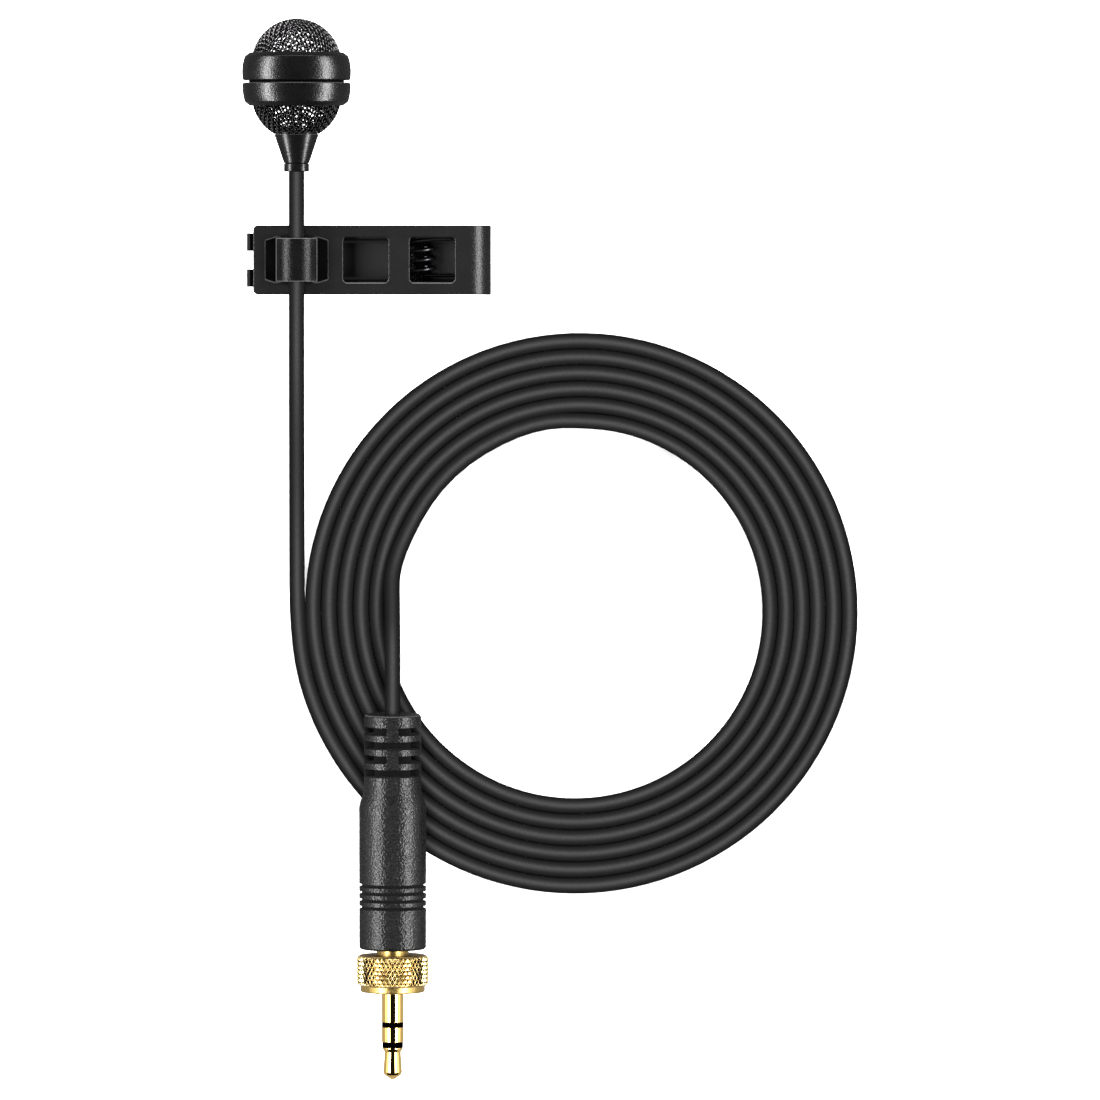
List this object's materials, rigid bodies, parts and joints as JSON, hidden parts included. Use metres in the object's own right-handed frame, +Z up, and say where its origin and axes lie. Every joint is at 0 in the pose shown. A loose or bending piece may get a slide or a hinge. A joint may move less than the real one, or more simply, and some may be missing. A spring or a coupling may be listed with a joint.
{
  "type": "lavalier microphone",
  "caption": "Clip-on lavalier microphone: ball-ended mesh head, sprung clip that slides on the cable, long coiled cable and a locking jack plug with a knurled nut.",
  "frame": {"origin": "point on the table under the middle of the clip's cable saddle, with the microphone lying flat", "axes": "+X along the clip from its teeth to its curled end, +Y from the plug end to the head along the cable, +Z up from the table"},
  "size_m": [0.0975, 0.1678, 0.0171],
  "materials": {
    "grille_mesh": "satin black woven wire",
    "ring_black": "fine-textured satin black",
    "neck_black": "satin black",
    "cable_black": "satin black jacket",
    "capsule_metal": "satin",
    "felt_black": "felt",
    "board_green": "solder mask",
    "inner_rubber": "soft matt",
    "crimp_steel": "tinned",
    "wire_red": "insulated wire",
    "wire_black": "insulated wire",
    "core_black": "matt black coating",
    "wire_white": "insulated wire",
    "clip_black": "fine-textured black coating",
    "spring_steel": "black-plated spring wire",
    "boot_rubber": "grainy matt black",
    "gold_plate": "polished gold plating",
    "insulator_black": "moulded black"
  },
  "bodies": {
    "microphone": {"front_grille": "grille_mesh", "rear_grille": "grille_mesh", "front_ring": "ring_black", "rear_ring": "ring_black", "core_ring": "core_black", "neck_cone": "neck_black", "cable_gland": "neck_black", "capsule_can": "capsule_metal", "capsule_felt": "felt_black", "capsule_board": "board_green", "capsule_mount": "inner_rubber", "strain_crimp": "crimp_steel", "signal_wire": "wire_black", "ground_wire": "wire_black", "cable_lead": "cable_black", "cable_coil": "cable_black", "cable_tail": "cable_black", "plug_boot": "boot_rubber", "plug_stem": "gold_plate", "nut_keeper": "crimp_steel", "plug_sleeve": "gold_plate", "insulator_rear": "insulator_black", "plug_ring_contact": "gold_plate", "insulator_front": "insulator_black", "plug_tip": "gold_plate", "tip_terminal": "crimp_steel", "ring_terminal": "crimp_steel", "plug_crimp": "crimp_steel", "tip_wire": "wire_red", "ring_wire": "wire_white"},
    "clip": {"clip_front_plate": "clip_black", "cable_saddle": "clip_black", "pivot_pin": "spring_steel", "torsion_spring": "spring_steel"},
    "jaw": {"clip_rear_jaw": "clip_black"},
    "nut": {"locking_nut": "gold_plate"}
  },
  "joints": [
    {"name": "clip_slide", "type": "slide", "parent": "microphone", "child": "clip", "axis": [0, 1, 0], "range_m": [-0.004, 0.008]},
    {"name": "jaw_hinge", "type": "hinge", "parent": "clip", "child": "jaw", "pos_m": [0.0194, 0, 0.0037], "axis": [0, -1, 0], "range_deg": [0, 15], "stiffness_Nm_per_rad": 0.1, "deforming": ["torsion_spring"]},
    {"name": "nut_spin", "type": "hinge", "parent": "microphone", "child": "nut", "pos_m": [0.01522, -0.11307, 0.00592], "axis": [0, -0.997, -0.0779], "continuous": true}
  ]
}
